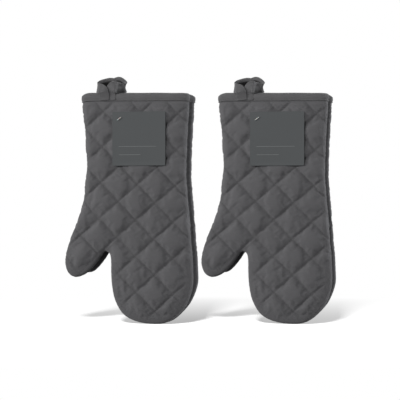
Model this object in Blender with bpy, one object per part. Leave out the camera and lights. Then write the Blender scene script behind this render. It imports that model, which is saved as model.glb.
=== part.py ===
# A pair of quilted oven mitts, held upright at their cuffs.
# Metres, +Z up, fronts towards -Y. The origin lies midway between the two cuffs, at rim height.
# Each mitt is a front and a back half. A half is three nested layers, shell, wadding and lining,
# whose rounded edges curl in to a side seam, and whose top edge is bound with tape.

import math
from collections import Counter

import bmesh
import bpy
from mathutils import Vector
from mathutils.geometry import delaunay_2d_cdt, intersect_point_line

# Outline of one mitt
MITT_LENGTH = 0.3215  # rim of the cuff to the fingertips
CUFF_HALF_WIDTH = 0.0778  # centre line to either side of the cuff
PALM_REACH = 0.0835  # centre line to the little-finger side of the palm
THUMB_REACH = 0.1034  # centre line to the outer side of the thumb
THUMB_DROP_SHARE = 0.796  # of MITT_LENGTH, rim to the tip of the thumb
CROTCH_DROP_SHARE = 0.6883  # of MITT_LENGTH, rim to the crotch between thumb and palm
THUMB_INNER_SHARE = 0.599  # of CUFF_HALF_WIDTH, centre line to the thumb's inner side

# Section of one half, measured from the plane of the side seam
EDGE_HEIGHT = 0.0145  # the widest line of the padded edge
FACE_HEIGHT = 0.017  # the sewing lines of the quilting
EDGE_ROUND = 0.008  # how far in the rounded edge has become the face
SEAM_INSET = 0.0065  # how far the side seam lies in from the widest line
CROWN_HEIGHT = 0.0015  # how much higher the middle of the face stands
CROWN_SPREAD = 0.04  # how far in from the outline the crown is full

# Layers
SHELL_THICKNESS = 0.001
WADDING_THICKNESS = 0.005
WADDING_SEAM_THICKNESS = 0.001  # where the side seam presses it flat
WADDING_RIM_THICKNESS = 0.002  # where the binding presses it flat
WADDING_TAPER = 0.02  # below the binding, the length over which it swells
LINING_THICKNESS = 0.0008
FIT_GAP = 0.0003  # between pieces that touch

# Quilting: two sets of sewing lines that cross in diamonds
QUILT_PITCH = 0.037  # side of a diamond
QUILT_RISE_DEG = 40.0  # lines that rise to the right
QUILT_FALL_DEG = 45.3  # lines that fall to the right
QUILT_START_DROP = 0.2274  # rim to the crossing that the pattern is laid from
QUILT_START_SIDE = 0.0001  # centre line to that crossing
PUFF_HEIGHT = 0.0026  # how far a diamond swells above its sewing lines
PUFF_FULLNESS = 0.55  # below 1 the diamonds are flat-topped
PUFF_STEPS = 3  # divisions of a diamond's side
QUILT_MARGIN = 0.0042  # least distance of a quilting point from the rounded edge
QUILT_FADE = 0.006  # below the binding, the length over which the diamonds rise

# Binding
BINDING_THICKNESS = 0.001
BINDING_DEPTH = 0.0105  # rim to the tape's lower edge
BINDING_ROUND = 0.0008  # the softened fold at the rim
RIM_STATIONS = 5  # across the face of a half at the rim

# Hanging loop
TAPE_WIDTH = 0.011
TAPE_THICKNESS = 0.0016
LOOP_INSET = 0.03785  # thumb side of the cuff to the middle of the loop's sewn base
LOOP_WIDTH = 0.0383  # left end to right end of the flopped loop
LOOP_DEPTH = 0.015  # near strand to far strand
LOOP_RISE = 0.0175  # base to the middle of the highest strand
LOOP_STEPS = 3  # stations between two chosen points of the tape
LOOP_BASE_HEIGHT = 0.006  # the sewn ends of the tape on the binding
LOOP_BASE_DROP = 0.001  # rim to the top of the sewn ends
LEG_SPACING = 0.0115  # between the middles of the loop's two ends
LEG_OVERLAP = 0.0005  # how far the ends reach below the line that they bend about

# Label card and its fastener
CARD_WIDTH = 0.0774
CARD_HEIGHT = 0.0751
CARD_THICKNESS = 0.0005
CARD_DROP = 0.026  # rim to the card's upper edge
CARD_SIDE = 0.0076  # centre line to the card's middle
CARD_HOLE_RADIUS = 0.0008
FASTENER_INSET = 0.0102  # card's left edge to the hole
FASTENER_DROP = 0.0095  # card's upper edge to the hole
FASTENER_BAR_LENGTH = 0.0075
FASTENER_BAR_RADIUS = 0.0005
FASTENER_THREAD_RADIUS = 0.0004
FASTENER_TILT_DEG = 35.0  # the bar's slope
FASTENER_TAIL = 0.0002  # thread behind the card
HOLE_SIDES = 12
ROD_SIDES = 8

# Arrangement of the pair
PAIR_SPACING = 0.1848  # between the mitts' centre lines, along X
PAIR_STAGGER = 0.053  # how much further back the right mitt stands

# Outline points of one mitt as shares, in order from the rim down the thumb's side and up again
SLEEVE_THUMB_SHARES = [  # of CUFF_HALF_WIDTH and MITT_LENGTH
    (-0.988, -0.095), (-0.949, -0.180), (-0.919, -0.311), (-0.946, -0.407),
]
FLARE_SHARES = [  # of the way from the cuff's side out to THUMB_REACH, and of MITT_LENGTH
    (0.070, -0.498), (0.465, -0.585),
]
THUMB_SHARES = [  # of the way from the thumb's inner side out to THUMB_REACH, and of its drop
    (0.949, -0.844), (1.0, -0.907), (0.967, -0.954), (0.862, -0.987), (0.696, -1.0),
    (0.474, -0.985), (0.279, -0.950), (0.121, -0.906),
]
CROTCH_SHARES = [  # of the way from the centre line to the thumb's inner side, and of its drop
    (-1.0, -1.004), (-0.888, -1.0), (-0.803, -1.0145),
]
PALM_SHARES = [  # of PALM_REACH and MITT_LENGTH
    (-0.430, -0.725), (-0.430, -0.778), (-0.412, -0.840), (-0.356, -0.902), (-0.222, -0.958),
    (-0.016, -0.988), (0.263, -1.0), (0.544, -0.994), (0.754, -0.9635), (0.916, -0.913),
    (0.996, -0.8335), (1.0, -0.762), (0.965, -0.644),
]
SLEEVE_OUTER_SHARES = [  # of CUFF_HALF_WIDTH and MITT_LENGTH
    (0.992, -0.504), (0.949, -0.389), (0.945, -0.2955), (0.967, -0.171), (0.989, -0.095),
]
PALM_STEPS = 2  # divisions between two outline points round the palm

# Rings of the rounded edge, from the side seam out and round to the face.
# Each row: inset and height of the shell, then how both change with depth under the shell's
# surface, then how much of the wadding's thickness and of the quilting is there.
RING_SHARES = [
    # seam_inset, edge_round, edge_height, to_face, inset_rate, sink_rate, wadding, puff
    (1.0, 0.0, 0.0, 0.0, 1.0, 0.0, 0.0, 0.0),
    (0.34, 0.0, 0.5, 0.0, 1.0, 0.1, 0.5, 0.0),
    (0.0, 0.0, 1.0, 0.0, 1.0, 0.6, 1.0, 0.1),
    (0.0, 0.3, 1.0, 0.8, 0.8, 0.95, 1.0, 0.55),
    (0.0, 1.0, 1.0, 1.0, 0.6, 1.0, 1.0, 1.0),
]

# The tape of the hanging loop, end to end: place as shares of LOOP_WIDTH, LOOP_DEPTH and
# LOOP_RISE from the middle of its base, then the direction across the tape
LOOP_SHARES = [
    (0.179, -0.040, 0.314, 1.0, 0.0, 0.0),
    (0.283, -0.233, 0.686, 0.85, 0.0, -0.5),
    (0.427, -0.200, 0.914, 0.5, 0.0, -0.87),
    (0.597, 0.233, 0.914, 0.1, 0.0, -1.0),
    (0.479, 0.700, 0.971, 0.0, 0.4, -0.9),
    (0.244, 0.767, 1.0, 0.0, 0.5, -0.85),
    (-0.043, 0.767, 0.857, 0.0, 0.5, -0.85),
    (-0.252, 0.667, 0.686, 0.0, 0.3, -0.95),
    (-0.403, 0.233, 0.600, 0.0, 0.0, -1.0),
    (-0.278, -0.133, 0.531, 0.0, 0.0, -1.0),
    (-0.150, -0.040, 0.450, -0.9, 0.0, -0.4),
]

INNER_RINGS = [0, 2, 4]  # the wadding and the lining have only these

# Places worked out from the sizes above
SEAM_HALF_GAP = FIT_GAP / 2
RIM_TOP = 0.0
SANDWICH_TOP = RIM_TOP - BINDING_THICKNESS - FIT_GAP
WADDING_IN = SHELL_THICKNESS + FIT_GAP
LINING_IN = WADDING_IN + FIT_GAP
LINING_END = LINING_IN + LINING_THICKNESS
BINDING_FACE = FIT_GAP + BINDING_THICKNESS
TALLEST_FACE = FACE_HEIGHT + CROWN_HEIGHT
BASE_BACK = TALLEST_FACE + BINDING_FACE + FIT_GAP
THUMB_INNER = CUFF_HALF_WIDTH * THUMB_INNER_SHARE
THUMB_DROP = MITT_LENGTH * THUMB_DROP_SHARE
CROTCH_DROP = MITT_LENGTH * CROTCH_DROP_SHARE
LOOP_SIDE = CUFF_HALF_WIDTH - LOOP_INSET
LOOP_PIVOT = Vector((
    -LOOP_SIDE,
    -BASE_BACK - TAPE_THICKNESS / 2,
    RIM_TOP - LOOP_BASE_DROP + FIT_GAP + TAPE_THICKNESS / 2,
))
CARD_BACK = TALLEST_FACE + PUFF_HEIGHT + FIT_GAP
CARD_PIVOT = Vector((CARD_SIDE, -CARD_BACK - CARD_THICKNESS / 2, -CARD_DROP))
MITT_PLACES = {
    "left": Vector((-PAIR_SPACING / 2, -PAIR_STAGGER / 2, RIM_TOP)),
    "right": Vector((PAIR_SPACING / 2, PAIR_STAGGER / 2, RIM_TOP)),
}


def clear_scene():
    for old in list(bpy.data.objects):
        bpy.data.objects.remove(old)


def material(name, color, roughness):
    made = bpy.data.materials.new(name)
    made.use_nodes = True
    shader = made.node_tree.nodes["Principled BSDF"]
    shader.inputs["Base Color"].default_value = (*color, 1.0)
    shader.inputs["Roughness"].default_value = roughness
    shader.inputs["Metallic"].default_value = 0.0
    return made


# Outline


def between(p0, p1, p2, p3, t):
    # a point of the smooth curve that passes through p1 and p2
    return 0.5 * (
        2 * p1
        + (p2 - p0) * t
        + (2 * p0 - 5 * p1 + 4 * p2 - p3) * t * t
        + (3 * p1 - p0 - 3 * p2 + p3) * t * t * t
    )


def scaled(shares, across, down, start=0.0):
    return [Vector((start + x * across, z * down)) for x, z in shares]


def outline_stations():
    # two straight stations at either side of the rim, for the binding, and between them the
    # chosen points, with more round the palm; also says which ones were chosen
    levels = [SANDWICH_TOP, -BINDING_DEPTH]
    chosen = [Vector((-CUFF_HALF_WIDTH, z)) for z in levels]
    chosen += scaled(SLEEVE_THUMB_SHARES, CUFF_HALF_WIDTH, MITT_LENGTH)
    flare = CUFF_HALF_WIDTH - THUMB_REACH
    chosen += scaled(FLARE_SHARES, flare, MITT_LENGTH, -CUFF_HALF_WIDTH)
    chosen += scaled(THUMB_SHARES, THUMB_INNER - THUMB_REACH, THUMB_DROP, -THUMB_INNER)
    chosen += scaled(CROTCH_SHARES, THUMB_INNER, CROTCH_DROP)
    first_round = len(chosen) + 1
    chosen += scaled(PALM_SHARES, PALM_REACH, MITT_LENGTH)
    last_round = len(chosen) - 1
    chosen += scaled(SLEEVE_OUTER_SHARES, CUFF_HALF_WIDTH, MITT_LENGTH)
    chosen += [Vector((CUFF_HALF_WIDTH, z)) for z in reversed(levels)]
    stations, kept = [], []
    for i, point in enumerate(chosen):
        kept.append(len(stations))
        stations.append(point)
        if first_round <= i < last_round:
            around = chosen[i - 1 : i + 3]
            stations += [between(*around, k / PALM_STEPS) for k in range(1, PALM_STEPS)]
    return stations, kept


def inward_normals(stations):
    normals = []
    last = len(stations) - 1
    for i in range(len(stations)):
        along = stations[min(i + 1, last)] - stations[max(i - 1, 0)]
        if i < 2 or i > last - 2:
            along.x = 0.0
        normals.append(Vector((-along.y, along.x)).normalized())
    return normals


STATIONS, CHOSEN_STATIONS = outline_stations()
NORMALS = inward_normals(STATIONS)


def distance_in(x, z):
    # from a point inside the mitt to its outline
    point = Vector((x, z))
    nearest = min(
        (point - clamped(point, a, b)).length for a, b in zip(STATIONS, STATIONS[1:])
    )
    return nearest


def clamped(point, a, b):
    foot, share = intersect_point_line(point, a, b)
    return a if share < 0 else b if share > 1 else foot


# Section


def crown(distance):
    share = min(distance / CROWN_SPREAD, 1.0)
    return CROWN_HEIGHT * math.sin(share * math.pi / 2)


def quilt_axes():
    rise, fall = math.radians(QUILT_RISE_DEG), math.radians(QUILT_FALL_DEG)
    along_rise = Vector((math.cos(rise), math.sin(rise))) * QUILT_PITCH
    along_fall = Vector((math.cos(fall), -math.sin(fall))) * QUILT_PITCH
    return along_rise, along_fall


QUILT_RISE, QUILT_FALL = quilt_axes()
QUILT_START = Vector((QUILT_START_SIDE, -QUILT_START_DROP))


def quilt_place(a, b):
    return QUILT_START + QUILT_RISE * a + QUILT_FALL * b


def quilt_counts(x, z):
    # how many diamonds along either direction a point lies from the pattern's start
    offset = Vector((x, z)) - QUILT_START
    area = QUILT_RISE.x * QUILT_FALL.y - QUILT_RISE.y * QUILT_FALL.x
    a = (offset.x * QUILT_FALL.y - offset.y * QUILT_FALL.x) / area
    b = (QUILT_RISE.x * offset.y - QUILT_RISE.y * offset.x) / area
    return a, b


def puff(x, z):
    a, b = quilt_counts(x, z)
    swell = abs(math.sin(math.pi * a) * math.sin(math.pi * b)) ** PUFF_FULLNESS
    fade = (-z - BINDING_DEPTH) / QUILT_FADE
    return PUFF_HEIGHT * swell * min(max(fade, 0.0), 1.0)


def wadding_at(z):
    swollen = min(max((-z - BINDING_DEPTH) / WADDING_TAPER, 0.0), 1.0)
    return WADDING_RIM_THICKNESS + (WADDING_THICKNESS - WADDING_RIM_THICKNESS) * swollen


def depth_in(z, firm, under_wadding, wadding_share=1.0):
    # depth of a layer's surface under the shell's: the firm layers above it, and the wadding
    if not under_wadding:
        return firm
    soft = wadding_at(z)
    return firm + WADDING_SEAM_THICKNESS + (soft - WADDING_SEAM_THICKNESS) * wadding_share


def ring_point(station, ring, firm, under_wadding, quilted):
    seam, round_, edge, face, inset_rate, sink_rate, wadding_share, puff_share = RING_SHARES[ring]
    base = STATIONS[station]
    depth = depth_in(base.y, firm, under_wadding, wadding_share)
    inset = seam * SEAM_INSET + round_ * EDGE_ROUND + inset_rate * depth
    place = base + NORMALS[station] * inset
    if ring == 0:
        return Vector((place.x, SEAM_HALF_GAP, place.y))
    height = edge * EDGE_HEIGHT + face * (FACE_HEIGHT - EDGE_HEIGHT) - sink_rate * depth
    height += face * crown(inset)
    if quilted:
        height += puff_share * puff(place.x, place.y)
    return Vector((place.x, height, place.y))


def face_point(x, z, firm, under_wadding, quilted):
    height = FACE_HEIGHT + crown(distance_in(x, z)) - depth_in(z, firm, under_wadding)
    if quilted:
        height += puff(x, z)
    return Vector((x, height, z))


# Layers


def rim_places():
    # across the face at the rim, between the rounded edges
    reach = CUFF_HALF_WIDTH - EDGE_ROUND - CROWN_SPREAD / 4
    return [reach * (2 * k / (RIM_STATIONS - 1) - 1) for k in range(RIM_STATIONS)]


def inside(point, polygon, margin):
    hit = False
    for a, b in zip(polygon, polygon[1:] + polygon[:1]):
        if (a.y > point.y) != (b.y > point.y):
            if point.x < a.x + (b.x - a.x) * (point.y - a.y) / (b.y - a.y):
                hit = not hit
        if (point - clamped(point, a, b)).length < margin:
            return False
    return hit


def quilt_grid(polygon, steps, top):
    # the quilting's crossings and the points between them that lie on the face, and the sewing
    # lines that join them
    far = math.ceil((MITT_LENGTH + THUMB_REACH) / QUILT_PITCH) * steps
    found = {}
    for i in range(-far, far + 1):
        for j in range(-far, far + 1):
            place = quilt_place(i / steps, j / steps)
            if place.y < top and inside(place, polygon, QUILT_MARGIN):
                found[i, j] = place
    lines = []
    for i, j in found:
        if i % steps == 0 and (i, j + 1) in found:
            lines.append(((i, j), (i, j + 1)))
        if j % steps == 0 and (i + 1, j) in found:
            lines.append(((i, j), (i + 1, j)))
    return found, lines


def face_layout(stations, steps, firm, under_wadding):
    # free points of the face inside the rounded edge, and the triangles over ring and free points
    last = len(RING_SHARES) - 1
    ring = [ring_point(s, last, firm, under_wadding, False) for s in stations]
    border = [Vector((p.x, p.z)) for p in ring]
    polygon = border + [Vector((x, SANDWICH_TOP)) for x in reversed(rim_places())]
    hem = [Vector((x, -BINDING_DEPTH)) for x in rim_places()]
    swollen = [Vector((x, -BINDING_DEPTH - WADDING_TAPER)) for x in rim_places()]
    rows = hem + (swollen if steps == 1 else [])
    grid, lines = quilt_grid(polygon, steps, rows[-1].y - QUILT_MARGIN)
    first = len(polygon) + len(rows)
    numbers = {key: first + k for k, key in enumerate(grid)}
    places = polygon + rows + list(grid.values())
    hem_ids = [1, *range(len(polygon), len(polygon) + len(hem)), len(border) - 2]
    edges = [(numbers[a], numbers[b]) for a, b in lines] + list(zip(hem_ids, hem_ids[1:]))
    made = delaunay_2d_cdt(places, edges, [list(range(len(polygon)))], 1, FIT_GAP / 100)
    triangles = [tuple(made[3][v][0] for v in face) for face in made[2]]
    return places[len(border) :], triangles


def layer_shape(stations, rings, layout, outer, inner, quilted=False):
    # a closed layer between two surfaces; outer and inner say how deep each lies
    free, triangles = layout
    points = []
    for firm, under_wadding in (outer, inner):
        for r in rings:
            points += [ring_point(s, r, firm, under_wadding, quilted) for s in stations]
        points += [face_point(p.x, p.y, firm, under_wadding, quilted) for p in free]
    width = len(stations)
    last_ring = (len(rings) - 1) * width
    faces = [tuple(last_ring + v for v in face) for face in triangles]
    for r in range(len(rings) - 1):
        for s in range(width - 1):
            a = r * width + s
            b, c, d = a + 1, a + width + 1, a + width
            faces += [(a, b, c), (a, c, d)]
    return points, closed(faces, points)


def closed(faces, points):
    # a surface, its copy in the second half of the points, and the strip between their edges
    half = len(points) // 2
    both = list(faces) + [tuple(v + half for v in face) for face in faces]
    uses = Counter(frozenset(pair) for face in faces for pair in zip(face, face[1:] + face[:1]))
    for edge in [pair for pair, count in uses.items() if count == 1]:
        a, b = sorted(edge)
        both += [(a, b, b + half), (a, b + half, a + half)]
    return both


def solid_mesh(name, points, faces):
    mesh = bpy.data.meshes.new(name)
    mesh.from_pydata(points, [], faces)
    shape = bmesh.new()
    shape.from_mesh(mesh)
    bmesh.ops.recalc_face_normals(shape, faces=shape.faces)
    shape.to_mesh(mesh)
    shape.free()
    return mesh


def half_mesh(name, side, points, faces):
    # the front half lies on the -Y side of the seam, the back half on the other
    return solid_mesh(name, [Vector((p.x, -side * p.y, p.z)) for p in points], faces)


# Binding


def binding_point(kind, where, firm, under_wadding, level):
    # a point of the rim's section, on a ring at its left or right edge or across its face
    if kind == "face":
        return face_point(where, STATIONS[level].y, firm, under_wadding, False)
    station = level if kind == "left" else len(STATIONS) - 1 - level
    if not under_wadding or where in INNER_RINGS:
        return ring_point(station, where, firm, under_wadding, False)
    before = ring_point(station, where - 1, firm, under_wadding, False)
    after = ring_point(station, where + 1, firm, under_wadding, False)
    return (before + after) / 2


def binding_shape():
    rings = range(len(RING_SHARES))
    path = [("left", r) for r in rings]
    path += [("face", x) for x in rim_places()]
    path += [("right", r) for r in reversed(rings)]
    outside = (-BINDING_FACE, False)
    over = (-FIT_GAP, False)
    under = (LINING_END + FIT_GAP, True)
    inside_ = (LINING_END + BINDING_FACE, True)
    lift = SANDWICH_TOP + FIT_GAP
    rows = [  # surface, station level, height or None for the level's own
        (outside, 1, None),
        (outside, 0, RIM_TOP - BINDING_ROUND),
        (over, 0, RIM_TOP),
        (under, 0, RIM_TOP),
        (inside_, 0, RIM_TOP - BINDING_ROUND),
        (inside_, 1, None),
        (under, 1, None),
        (under, 0, lift),
        (over, 0, lift),
        (over, 1, None),
    ]
    points = []
    for kind, where in path:
        for (firm, under_wadding), level, height in rows:
            p = binding_point(kind, where, firm, under_wadding, level)
            z = p.z if height is None else height
            points.append(Vector((p.x, p.y, z)))
    n = len(rows)
    faces = []
    for s in range(len(path) - 1):
        for k in range(n):
            a, b = s * n + k, s * n + (k + 1) % n
            faces += [(a, b, b + n), (a, b + n, a + n)]
    # the two ends of the folded tape: its legs and its fold
    end = [(0, 1, 8, 9), (1, 2, 8), (2, 3, 7, 8), (3, 4, 7), (4, 5, 6, 7)]
    faces += end + [tuple(v + (len(path) - 1) * n for v in face) for face in end]
    return points, faces


# Hanging loop


def loop_stations():
    width, depth, rise = LOOP_WIDTH, LOOP_DEPTH, LOOP_RISE
    rows = [(Vector((x * width, y * depth, z * rise)), Vector((a, b, c)).normalized())
            for x, y, z, a, b, c in LOOP_SHARES]
    half = LEG_SPACING / 2
    foot_a = (Vector((half, 0.0, -LEG_OVERLAP)), Vector((1.0, 0.0, 0.0)))
    foot_b = (Vector((-half, 0.0, -LEG_OVERLAP)), Vector((-1.0, 0.0, 0.0)))
    chosen = [foot_a, *rows, foot_b]
    padded = [chosen[0], *chosen, chosen[-1]]
    stations = []
    for i in range(len(chosen) - 1):
        around = padded[i : i + 4]
        for k in range(LOOP_STEPS):
            t = k / LOOP_STEPS
            middle = between(*(p for p, _ in around), t)
            across = between(*(w for _, w in around), t).normalized()
            stations.append((middle, across))
    return [*stations, chosen[-1]]


def loop_mesh(name):
    stations = loop_stations()
    points = []
    last = len(stations) - 1
    for i, (middle, across) in enumerate(stations):
        travel = stations[min(i + 1, last)][0] - stations[max(i - 1, 0)][0]
        if i in (0, last):
            travel = Vector((0.0, 0.0, 1.0 if i == 0 else -1.0))
        normal = travel.cross(across).normalized()
        w = across * TAPE_WIDTH / 2
        t = normal * TAPE_THICKNESS / 2
        points += [middle - w - t, middle + w - t, middle + w + t, middle - w + t]
    faces = [(0, 1, 2), (0, 2, 3)]
    for i in range(last):
        for k in range(4):
            a, b = i * 4 + k, i * 4 + (k + 1) % 4
            faces += [(a, a + 4, b + 4), (a, b + 4, b)]
    end = last * 4
    faces += [(end, end + 2, end + 1), (end, end + 3, end + 2)]
    return solid_mesh(name, points, faces)


def loop_base_mesh(name):
    # the sewn ends: a flat strip under both legs, narrower at its lower edge
    half_top = LEG_SPACING / 2 + TAPE_WIDTH / 2
    half_low = half_top - TAPE_THICKNESS
    back, front = -BASE_BACK, -BASE_BACK - TAPE_THICKNESS
    top, low = RIM_TOP - LOOP_BASE_DROP, RIM_TOP - LOOP_BASE_DROP - LOOP_BASE_HEIGHT
    rows = [(-half_low, low), (half_low, low), (half_top, top), (-half_top, top)]
    points = [Vector((x - LOOP_SIDE, y, z)) for y in (front, back) for x, z in rows]
    faces = [(0, 1, 2, 3), (7, 6, 5, 4), (0, 4, 5, 1), (1, 5, 6, 2), (2, 6, 7, 3), (3, 7, 4, 0)]
    return solid_mesh(name, points, faces)


# Label card and fastener


def card_mesh(name):
    # a flat card hung from its upper edge, with a round hole near its left corner
    left, right = -CARD_WIDTH / 2, CARD_WIDTH / 2
    hole = Vector((left + FASTENER_INSET, -FASTENER_DROP))
    corners = [Vector((left, -CARD_HEIGHT)), Vector((right, -CARD_HEIGHT)),
               Vector((right, 0.0)), Vector((left, 0.0))]
    circle = [
        hole + Vector((math.cos(t), math.sin(t))) * CARD_HOLE_RADIUS
        for t in (2 * math.pi * k / HOLE_SIDES for k in range(HOLE_SIDES))
    ]
    edges = [(4 + k, 4 + (k + 1) % HOLE_SIDES) for k in range(HOLE_SIDES)]
    made = delaunay_2d_cdt(corners + circle, edges, [[0, 1, 2, 3]], 1, FIT_GAP / 100)
    flat = made[0]
    faces = [f for f in made[2] if (sum((flat[v] for v in f), Vector((0, 0))) / 3 - hole).length
             > CARD_HOLE_RADIUS]
    half = CARD_THICKNESS / 2
    points = [Vector((p.x, y, p.y)) for y in (-half, half) for p in flat]
    return solid_mesh(name, points, closed([tuple(face) for face in faces], points))


def rod_mesh(name, start, finish, radius):
    along = (finish - start).normalized()
    one = along.orthogonal().normalized()
    two = along.cross(one)
    turns = [2 * math.pi * k / ROD_SIDES for k in range(ROD_SIDES)]
    circle = [(one * math.cos(t) + two * math.sin(t)) * radius for t in turns]
    points = [end + spoke for end in (start, finish) for spoke in circle]
    faces = [tuple(range(ROD_SIDES)), tuple(range(ROD_SIDES, 2 * ROD_SIDES))]
    for k in range(ROD_SIDES):
        a, b = k, (k + 1) % ROD_SIDES
        faces.append((a, b, b + ROD_SIDES, a + ROD_SIDES))
    return solid_mesh(name, points, faces)


def fastener_meshes(name):
    # the bar lies on the card's front, and the thread goes from it through the hole
    hole = Vector((FASTENER_INSET - CARD_WIDTH / 2, 0.0, -FASTENER_DROP))
    tilt = math.radians(FASTENER_TILT_DEG)
    along = Vector((math.cos(tilt), 0.0, math.sin(tilt))) * FASTENER_BAR_LENGTH / 2
    middle = hole + Vector((0.0, -CARD_THICKNESS / 2 - FIT_GAP - FASTENER_BAR_RADIUS, 0.0))
    tail = hole + Vector((0.0, CARD_THICKNESS / 2 + FASTENER_TAIL, 0.0))
    bar = rod_mesh(name, middle - along, middle + along, FASTENER_BAR_RADIUS)
    thread = rod_mesh(name + "_thread", middle, tail, FASTENER_THREAD_RADIUS)
    return bar, thread


# Assembly


def placed(name, mesh, paint, parent, location=(0.0, 0.0, 0.0)):
    made = bpy.data.objects.new(name, mesh)
    bpy.context.scene.collection.objects.link(made)
    if not mesh.materials:
        mesh.materials.append(paint)
    made.parent = parent
    made.location = location
    return made


def pivot(name, parent, location):
    made = bpy.data.objects.new(name, None)
    bpy.context.scene.collection.objects.link(made)
    made.parent = parent
    made.location = location
    return made


def build():
    clear_scene()
    cotton = material("cotton_shell", (0.105, 0.107, 0.110), 0.93)
    wadding = material("wadding", (0.62, 0.60, 0.56), 0.95)
    lining = material("lining", (0.16, 0.16, 0.165), 0.92)
    tape = material("binding_tape", (0.112, 0.113, 0.116), 0.9)
    card = material("card", (0.088, 0.096, 0.099), 0.6)
    plastic = material("fastener", (0.72, 0.73, 0.74), 0.4)
    every = range(len(STATIONS))
    outer_grid = every, range(len(RING_SHARES)), face_layout(every, PUFF_STEPS, 0.0, False)
    inner_face = face_layout(CHOSEN_STATIONS, 1, LINING_IN, True)
    inner_grid = CHOSEN_STATIONS, INNER_RINGS, inner_face
    shapes = {
        "shell": (layer_shape(*outer_grid, (0.0, False), (SHELL_THICKNESS, False), True), cotton),
        "wadding": (layer_shape(*inner_grid, (WADDING_IN, False), (WADDING_IN, True)), wadding),
        "lining": (layer_shape(*inner_grid, (LINING_IN, True), (LINING_END, True)), lining),
        "binding": (binding_shape(), tape),
    }
    shared = {}
    for half, side in {"front": 1, "back": -1}.items():
        for layer, (shape, paint) in shapes.items():
            name = f"{half}_{layer}"
            shared[name] = (half_mesh(name, side, *shape), paint)
    shared["loop_base"] = (loop_base_mesh("loop_base"), tape)
    loop = loop_mesh("hanging_loop")
    card_shape = card_mesh("label_card")
    bar, thread = fastener_meshes("tag_fastener")
    for hand, place in MITT_PLACES.items():
        mitt = pivot(f"{hand}_mitt", None, place)
        for name, (mesh, paint) in shared.items():
            placed(f"{hand}_{name}", mesh, paint, mitt)
        loop_pivot = pivot(f"{hand}_loop_pivot", mitt, LOOP_PIVOT)
        placed(f"{hand}_hanging_loop", loop, tape, loop_pivot)
        card_pivot = pivot(f"{hand}_card_pivot", mitt, CARD_PIVOT)
        placed(f"{hand}_label_card", card_shape, card, card_pivot)
        cutter = placed(f"{hand}_thread", thread, plastic, card_pivot)
        cutter.hide_render = True
        cutter.display_type = "WIRE"
        barb = placed(f"{hand}_tag_fastener", bar, plastic, card_pivot)
        union = barb.modifiers.new("thread", "BOOLEAN")
        union.operation = "UNION"
        union.object = cutter


build()
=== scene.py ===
# A pair of quilted oven mitts with binding, hanging tapes and cards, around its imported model.
import math

import bmesh
import bpy
import numpy as np
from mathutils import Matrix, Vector, noise
from mathutils.bvhtree import BVHTree
from mathutils.geometry import delaunay_2d_cdt


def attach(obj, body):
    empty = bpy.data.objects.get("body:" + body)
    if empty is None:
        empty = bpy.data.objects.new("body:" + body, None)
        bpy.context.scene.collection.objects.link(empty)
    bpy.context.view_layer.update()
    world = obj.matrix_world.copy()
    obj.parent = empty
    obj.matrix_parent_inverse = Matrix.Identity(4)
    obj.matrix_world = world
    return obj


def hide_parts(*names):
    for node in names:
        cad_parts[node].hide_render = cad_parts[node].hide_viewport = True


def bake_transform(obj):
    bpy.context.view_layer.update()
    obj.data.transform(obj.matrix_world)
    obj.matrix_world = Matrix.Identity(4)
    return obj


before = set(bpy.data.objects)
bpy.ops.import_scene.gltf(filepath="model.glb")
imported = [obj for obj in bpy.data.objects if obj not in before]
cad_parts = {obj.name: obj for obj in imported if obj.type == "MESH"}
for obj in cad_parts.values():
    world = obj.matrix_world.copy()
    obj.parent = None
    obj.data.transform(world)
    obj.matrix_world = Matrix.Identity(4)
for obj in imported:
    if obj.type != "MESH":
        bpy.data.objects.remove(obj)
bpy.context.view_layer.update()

mm = 0.001
scene = bpy.context.scene


# Shader maths: a wire is a socket that can stand in a sum
class Wire:
    def __init__(self, paint, node, out=0):
        self.paint = paint
        self.node = node
        self.socket = node.outputs[out]

    def of(self, out):
        return Wire(self.paint, self.node, out)

    def op(self, kind, *values):
        return self.paint.add("Math", dict(enumerate(values)), operation=kind)

    def __add__(self, other):
        return self.op("ADD", self, other)

    def __sub__(self, other):
        return self.op("SUBTRACT", self, other)

    def __rsub__(self, other):
        return self.op("SUBTRACT", other, self)

    def __mul__(self, other):
        return self.op("MULTIPLY", self, other)

    def __truediv__(self, other):
        return self.op("DIVIDE", self, other)

    def __rtruediv__(self, other):
        return self.op("DIVIDE", other, self)

    def __gt__(self, other):
        return self.op("GREATER_THAN", self, other)

    def __lt__(self, other):
        return self.op("LESS_THAN", self, other)

    def __abs__(self):
        return self.op("ABSOLUTE", self)

    def sine(self):
        return self.op("SINE", self)

    def clipped(self):
        return self.op("MINIMUM", self.op("MAXIMUM", self, 0.0), 1.0)

    __radd__ = __add__
    __rmul__ = __mul__


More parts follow.
